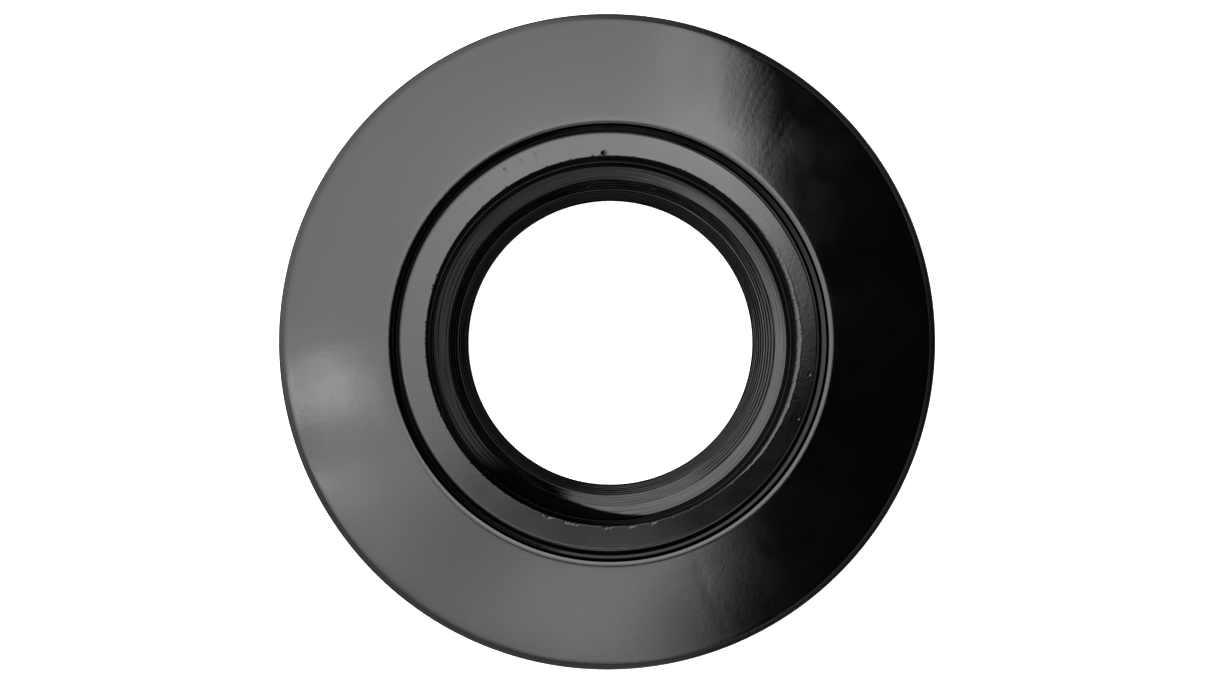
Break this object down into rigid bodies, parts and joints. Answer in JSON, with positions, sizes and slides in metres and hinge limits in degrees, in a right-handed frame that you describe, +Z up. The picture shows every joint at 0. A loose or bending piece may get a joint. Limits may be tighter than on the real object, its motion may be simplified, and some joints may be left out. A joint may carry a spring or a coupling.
{
  "type": "toilet flange",
  "caption": "Round toilet flange: a wide brim that swivels on a push-in hub, whose bore holds a ribbed gasket for the waste pipe.",
  "frame": {"origin": "on the flange's axis, at the foot of the neck", "axes": "+Z up the flange's axis, from the neck towards the collar's face; +X towards the retaining ring's split"},
  "size_m": [0.1778, 0.1778, 0.048],
  "materials": {
    "plate_plastic": "satin gloss, slightly wavy",
    "hub_plastic": "satin gloss",
    "gasket_rubber": "smooth",
    "seal_rubber": "smooth",
    "washer_plastic": "matte",
    "ring_steel": "brushed"
  },
  "bodies": {
    "hub": {"collar_hub": "hub_plastic", "gasket_clamp_ring": "hub_plastic", "pipe_gasket": "gasket_rubber", "swivel_seal": "seal_rubber", "mouth_seal": "seal_rubber", "spigot_seal": "seal_rubber", "retaining_ring": "ring_steel"},
    "plate": {"flange_plate": "plate_plastic", "slip_washer": "washer_plastic"}
  },
  "joints": [
    {"name": "plate_swivel", "type": "hinge", "parent": "hub", "child": "plate", "pos_m": [0, 0, 0.0365], "axis": [0, 0, 1], "continuous": true}
  ]
}
